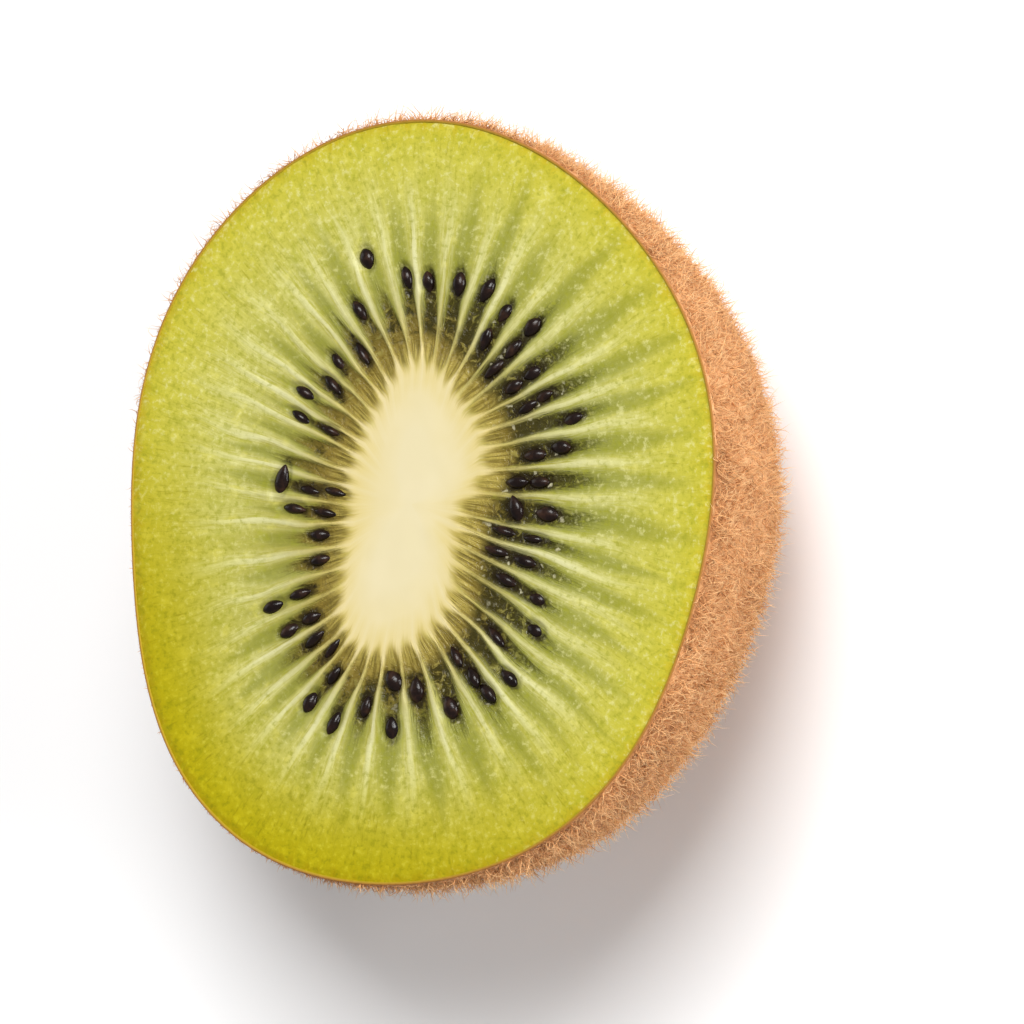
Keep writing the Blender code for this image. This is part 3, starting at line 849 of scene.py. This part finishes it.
def make_skin(material):
    """The skin as a thin closed shell: inside, over the cut rim, down the outside, into the dimple."""
    turn = np.arange(SKIN_COLUMNS) * math.tau / SKIN_COLUMNS
    inner_levels = np.linspace(math.pi / 2, INNER_FIRST_LEVEL, INNER_ROWS)
    inner_share = 1 - SKIN_THICKNESS / (FACE_WIDTH / 2)
    inner = np.stack([body_ring(turn, level, inner_share) for level in inner_levels])
    inner[..., 2] = np.maximum(inner[..., 2], INNER_LOWEST)
    rim = [raised(skin_edge(turn, share), HALF_HEIGHT - fall) for share, fall in zip(RIM_SHARES, RIM_FALL)]
    outer = rough_outside(turn)
    dimple = [flat_ring(turn, DIMPLE_RADIUS * math.cos(bend * DIMPLE_CLOSING), DIMPLE_DEPTH * math.sin(bend))
              for bend in np.linspace(0, math.pi / 2, DIMPLE_ROWS)]
    grid = np.concatenate((inner, np.stack(rim), outer, np.stack(dimple)))[::-1]

    rows = len(grid)
    edge = np.zeros(rows)
    first_rim = rows - INNER_ROWS - len(RIM_SHARES)
    edge[first_rim:first_rim + len(RIM_SHARES)] = np.linspace(RIM_OUTSIDE, 1.0, len(RIM_SHARES))
    edge[first_rim + len(RIM_SHARES):] = 1.0
    uvs = 0.5 + on_circle(np.linspace(0.0, 0.49, rows)[:, None], turn[None])
    start = (*FACE_CENTRE, DIMPLE_DEPTH)
    end = (*FACE_CENTRE, INNER_LOWEST)
    piece = closed_piece("kiwi_skin", grid, start, end, (uvs, BAKE_MIDDLE, BAKE_CORNER))
    set_values(piece.data, "rim", np.concatenate((np.repeat(edge, SKIN_COLUMNS), (0.0, 1.0))))
    finish_piece(piece, material)
    return outer


# Calyx: what is left of the dried sepals and the stem in the dimple underneath

SEPALS = 6
SEPAL_ROWS = 9
SEPAL_SIDES = 10
SEPAL_START = 0.0007
SEPAL_LENGTH = 0.0030
SEPAL_WIDTH = 0.0019
SEPAL_THICKNESS = 0.00022
SEPAL_CURL = 0.0004
STUB_RADIUS = 0.0011
STUB_END = 0.00045
STUB_HOLLOW = 0.00015
STUB_ROUGHNESS = 0.00006
STUB_ROWS = 6
STUB_SIDES = 18
CALYX_LIFT = 0.0001
CALYX_LOWEST = 0.0001
CALYX_SEED = 5


def dimple_height(radius):
    """How high the roof of the dimple is at a distance from its middle."""
    return DIMPLE_DEPTH * np.sqrt(np.maximum(1 - (radius / DIMPLE_RADIUS) ** 2, 0))


def sepal_rings(heading, size, rng):
    """The rings of one withered sepal, which follows the dimple outward and curls away at its tip."""
    along = np.linspace(0, 1, SEPAL_ROWS)
    radius = SEPAL_START + along * SEPAL_LENGTH * size
    middle = dimple_height(radius) - SEPAL_THICKNESS - SEPAL_CURL * along ** 2
    width = SEPAL_WIDTH / 2 * size * np.sin(math.pi * (0.18 + 0.78 * along)) ** 0.8
    width *= rng.uniform(0.8, 1.15, SEPAL_ROWS)
    turn = heading + 0.25 * rng.uniform(-1, 1) * along ** 2
    spine = np.stack((radius * np.cos(turn), radius * np.sin(turn), middle), axis=-1)
    sideways = np.stack((-np.sin(turn), np.cos(turn), np.zeros(SEPAL_ROWS)), axis=-1)
    corner = np.arange(SEPAL_SIDES) * math.tau / SEPAL_SIDES
    rings = spine[:, None] + sideways[:, None] * (width[:, None] * np.cos(corner))[..., None]
    cupped = np.cos(corner) ** 2 * SEPAL_CURL * 0.5
    rings[..., 2] -= SEPAL_THICKNESS / 2 * np.sin(corner) + cupped * along[:, None]
    return rings


def stub_rings(rng):
    """The rings of the short woody stub in the middle, with a rough hollow end."""
    corner = np.arange(STUB_SIDES) * math.tau / STUB_SIDES
    ragged = rng.uniform(0.88, 1.08, STUB_SIDES)
    heights = np.linspace(DIMPLE_DEPTH + CALYX_LIFT, STUB_END, STUB_ROWS - 1)
    heights = np.append(heights, STUB_END + STUB_HOLLOW)
    shares = np.append(np.linspace(1.25, 0.92, STUB_ROWS - 1), 0.5)
    rings = np.empty((STUB_ROWS, STUB_SIDES, 3))
    rings[..., :2] = on_circle(STUB_RADIUS * shares[:, None] * ragged, corner[None])
    rough = rng.uniform(-STUB_ROUGHNESS, STUB_ROUGHNESS, (STUB_ROWS, STUB_SIDES))
    rings[..., 2] = heights[:, None] + rough
    return rings


def make_calyx(material):
    """The stub and the sepals round it, in one mesh."""
    rng = np.random.default_rng(CALYX_SEED)
    shapes = [stub_rings(rng)]
    for number in range(SEPALS):
        heading = (number + rng.uniform(-0.3, 0.3)) * math.tau / SEPALS
        shapes.append(sepal_rings(heading, rng.uniform(0.65, 1.05), rng))
    points = []
    faces = []
    for rings in shapes:
        rings[..., :2] += FACE_CENTRE
        rings[..., 2] = np.maximum(rings[..., 2], CALYX_LOWEST)
        first = len(points)
        points += rings.reshape(-1, 3).tolist()
        points += [rings[0].mean(axis=0).tolist(), rings[-1].mean(axis=0).tolist()]
        faces += [tuple(first + number for number in face) for face in tube_faces(*rings.shape[:2])]
    piece = mesh_piece("kiwi_calyx", points, faces)
    piece.data.flip_normals()
    set_uvs(piece.data, 0.5 + (np.array(points)[:, :2] - FACE_CENTRE) / (DIMPLE_RADIUS * 2.2))
    finish_piece(piece, material)


# Fuzz

HAIR_SEED = 21
HAIR_SIDES = 3
HAIR_SUNK_ROOT = 0.00010
HAIR_CLEARANCE = 0.00006
HAIR_TAPER = 0.28
HAIR_GIRTH_RANGE = (0.7, 1.15)
FUZZ_LOWEST = 0.00004
FUZZ_LOWEST_STEP = 0.00001

# More hairs stand just under the rim, but on one side they are worn short there
RIM_TUFT = 1.6
RIM_TUFT_HEIGHT = 0.003
WORN_DIRECTION = np.array((-0.80, -0.60))
WORN_HEIGHT = 0.006
WORN_SHARE = 0.72

# Which way the hairs lie: waves to a metre, how far they turn the hairs, and each hair's own turn
SWIRL_SIZE = 220
SWIRL_TURN = 2.4
SWIRL_JITTER = 1.3

# Each kind of hair: how many pieces of it, hairs in a piece, rings to a hair, root radius, shortest and
# longest, least and most lean from upright, and how much it bends from ring to ring
HAIR_KINDS = (("short", 1, 58_000, 1, 0.000036, (0.0004, 0.0010), (0.5, 1.35), 0.0),
              ("curly", 2, 12_900, 3, 0.000050, (0.0011, 0.0025), (0.35, 1.30), 0.85))


def unit(vectors):
    return vectors / np.linalg.norm(vectors, axis=-1, keepdims=True)


def turned(vectors, axes, angles):
    """Vectors turned about unit axes that are square to them."""
    return vectors * np.cos(angles) + np.cross(axes, vectors) * np.sin(angles)


class SkinSurface:
    """Picks places on the skin, evenly by area but closer together just under the cut rim."""

    def __init__(self, outer):
        self.outer = outer
        self.across = (np.roll(outer, -1, axis=1) - outer)[:-1]
        self.down = outer[1:] - outer[:-1]
        normals = np.cross(self.down, self.across)
        self.areas = np.linalg.norm(normals, axis=-1)
        self.normals = normals / self.areas[..., None]
        below_rim = outer[0, 0, 2] - outer[:-1, :, 2]
        crowding = 1 + RIM_TUFT * np.exp(-below_rim / RIM_TUFT_HEIGHT)
        self.cumulative = np.cumsum((self.areas * crowding).ravel())

    def places(self, count, rng):
        """Roots, their outward normals and the downhill direction along the skin."""
        chosen = np.searchsorted(self.cumulative, rng.random(count) * self.cumulative[-1])
        row, column = np.unravel_index(np.minimum(chosen, self.areas.size - 1), self.areas.shape)
        step_down, step_across = rng.random((2, count, 1))
        down = self.down[row, column]
        roots = self.outer[row, column] + step_down * down + step_across * self.across[row, column]
        return roots, self.normals[row, column], unit(down)


def worn_lengths(roots):
    """The share of its length that each hair keeps: fuzz is rubbed short under the rim on one side."""
    offset = roots[:, :2] - FACE_CENTRE
    towards = offset @ WORN_DIRECTION / np.linalg.norm(offset, axis=-1)
    worn = smooth_step(0.2, 0.9, towards) * smooth_step(WORN_HEIGHT, 0, HALF_HEIGHT - roots[:, 2])
    return 1 - WORN_SHARE * worn[:, None]


def hair_points(surface, count, rings, radius, lengths, leans, curl, rng):
    """The corners of every hair, ring by ring, and its tip. Neighbours lie much the same way, as tufts."""
    roots, normals, downhill = surface.places(count, rng)
    swirl = SWIRL_TURN * noise_at(roots, SWIRL_SIZE)[:, None] + rng.normal(0, SWIRL_JITTER, (count, 1))
    flat = downhill * np.cos(swirl) + np.cross(normals, downhill) * np.sin(swirl)
    lean = rng.uniform(*leans, (count, 1))
    heading = normals * np.cos(lean) + flat * np.sin(lean)
    axis = unit(np.cross(heading, rng.normal(0, 1, (count, 3))))
    bend = rng.normal(0, curl, (count, 1))
    step = rng.uniform(*lengths, (count, 1)) * worn_lengths(roots) / rings
    radius = radius * rng.uniform(*HAIR_GIRTH_RANGE, (count, 1))
    spot = roots - normals * HAIR_SUNK_ROOT
    points = np.empty((count, rings * HAIR_SIDES + 1, 3))
    for ring in range(rings):
        spoke = axis
        for corner in range(HAIR_SIDES):
            points[:, ring * HAIR_SIDES + corner] = spot + spoke * radius * (1 - HAIR_TAPER * ring)
            spoke = turned(spoke, heading, math.tau / HAIR_SIDES)
        spot = spot + heading * step
        above = ((spot - roots) * normals).sum(axis=-1, keepdims=True)
        spot = spot + normals * np.maximum(HAIR_CLEARANCE - above, 0)
        heading = turned(heading, axis, bend)
    points[:, -1] = spot
    lowest = FUZZ_LOWEST + FUZZ_LOWEST_STEP * np.arange(rings * HAIR_SIDES + 1)
    points[..., 2] = np.maximum(points[..., 2], lowest)
    return points


def hair_faces(rings):
    """The triangles of one hair: its sides up to the tip. Its root is open, in the skin."""
    faces = []
    for corner in range(HAIR_SIDES):
        after = (corner + 1) % HAIR_SIDES
        for first in range(0, HAIR_SIDES * (rings - 1), HAIR_SIDES):
            following = first + HAIR_SIDES
            faces += [(first + corner, first + after, following + after),
                      (first + corner, following + after, following + corner)]
        last = HAIR_SIDES * (rings - 1)
        faces.append((last + corner, last + after, HAIR_SIDES * rings))
    return np.array(faces)


def make_fuzz(outer, material):
    """The hairs on the skin: each one a thin three-sided spike, and the long ones curl."""
    rng = np.random.default_rng(HAIR_SEED)
    surface = SkinSurface(outer)
    for kind, pieces, count, rings, radius, lengths, leans, curl in HAIR_KINDS:
        for number in range(pieces):
            points = hair_points(surface, count, rings, radius, lengths, leans, curl, rng)
            corners = points.shape[1]
            faces = (hair_faces(rings)[None] + corners * np.arange(count)[:, None, None]).reshape(-1, 3)
            name = f"kiwi_fuzz_{kind}_{number + 1}"
            piece = mesh_piece(name, points.reshape(-1, 3).tolist(), faces.tolist())
            along = np.append(np.repeat(np.arange(rings) / rings, HAIR_SIDES), 1.0)
            along = along * (1 - 2 * BAKE_MARGIN) + BAKE_MARGIN
            tint = np.repeat(rng.random(count), corners)
            set_uvs(piece.data, np.stack((np.tile(along, count), tint), axis=-1))
            finish_piece(piece, material)


# Stage, light and camera

FLOOR_REACH = 3.0
FLOOR_COLOUR = (246, 246, 246)
LIGHT_DISTANCE = 1.6
WORLD_STRENGTH = 0.28
SENSOR_WIDTH = 36.0

# Each light: the direction in which it stands from the fruit, its width and its power
LIGHTS = {"key": ((0.27, 0.42, 0.86), 0.75, 26.2),
          "fill": ((0.93, 0.10, 0.30), 0.70, 16.6),
          "back": ((-0.90, 0.20, 0.30), 0.90, 2.6)}


def make_floor():
    corners = [(x * FLOOR_REACH, y * FLOOR_REACH, 0) for x, y in ((-1, -1), (1, -1), (1, 1), (-1, 1))]
    floor = mesh_piece("floor", corners, [(0, 1, 2, 3)])
    s = Shade("floor", 0.6)
    floor.data.materials.append(s.done(linear(*FLOOR_COLOUR)))


def make_light(name, direction, size, power):
    """A square soft light that looks at the fruit from a direction."""
    data = bpy.data.lights.new(name, "AREA")
    data.size = size
    data.energy = power
    light = bpy.data.objects.new(name, data)
    bpy.context.scene.collection.objects.link(light)
    away = Vector(direction).normalized()
    light.location = VIEW_TARGET + away * LIGHT_DISTANCE
    light.rotation_mode = "QUATERNION"
    light.rotation_quaternion = away.to_track_quat("Z", "Y")


def make_lights():
    """The lamps, an even white world and the plain view transform."""
    for name, (direction, size, power) in LIGHTS.items():
        make_light(name, direction, size, power)
    world = bpy.data.worlds.new("studio")
    world.use_nodes = True
    background = world.node_tree.nodes["Background"]
    background.inputs["Color"].default_value = (1.0, 1.0, 1.0, 1.0)
    background.inputs["Strength"].default_value = WORLD_STRENGTH
    bpy.context.scene.world = world
    bpy.context.scene.view_settings.view_transform = "Standard"


def make_camera():
    """The camera stands at the photograph's angle, with the picture rolled as there."""
    level = math.cos(VIEW_ELEVATION)
    back = Vector((math.sin(VIEW_AZIMUTH) * level, -math.cos(VIEW_AZIMUTH) * level,
                   math.sin(VIEW_ELEVATION)))
    right = PICTURE_UP.cross(back).normalized()
    up = back.cross(right)
    data = bpy.data.cameras.new("camera")
    data.sensor_width = SENSOR_WIDTH
    data.lens = data.sensor_width * VIEW_DISTANCE / VIEW_WIDTH
    camera = bpy.data.objects.new("camera", data)
    bpy.context.scene.collection.objects.link(camera)
    facing = Matrix((right, up, back)).transposed().to_4x4()
    camera.matrix_world = Matrix.Translation(VIEW_TARGET + back * VIEW_DISTANCE) @ facing
    bpy.context.scene.camera = camera


def main():
    rays = ray_turns()
    seeds = seed_places(rays)
    make_flesh(rays, seeds, flesh_material())
    make_seeds(seeds, seed_material())
    outer = make_skin(skin_material())
    make_fuzz(outer, fuzz_material())
    make_calyx(calyx_material())
    make_floor()
    make_lights()
    make_camera()


main()
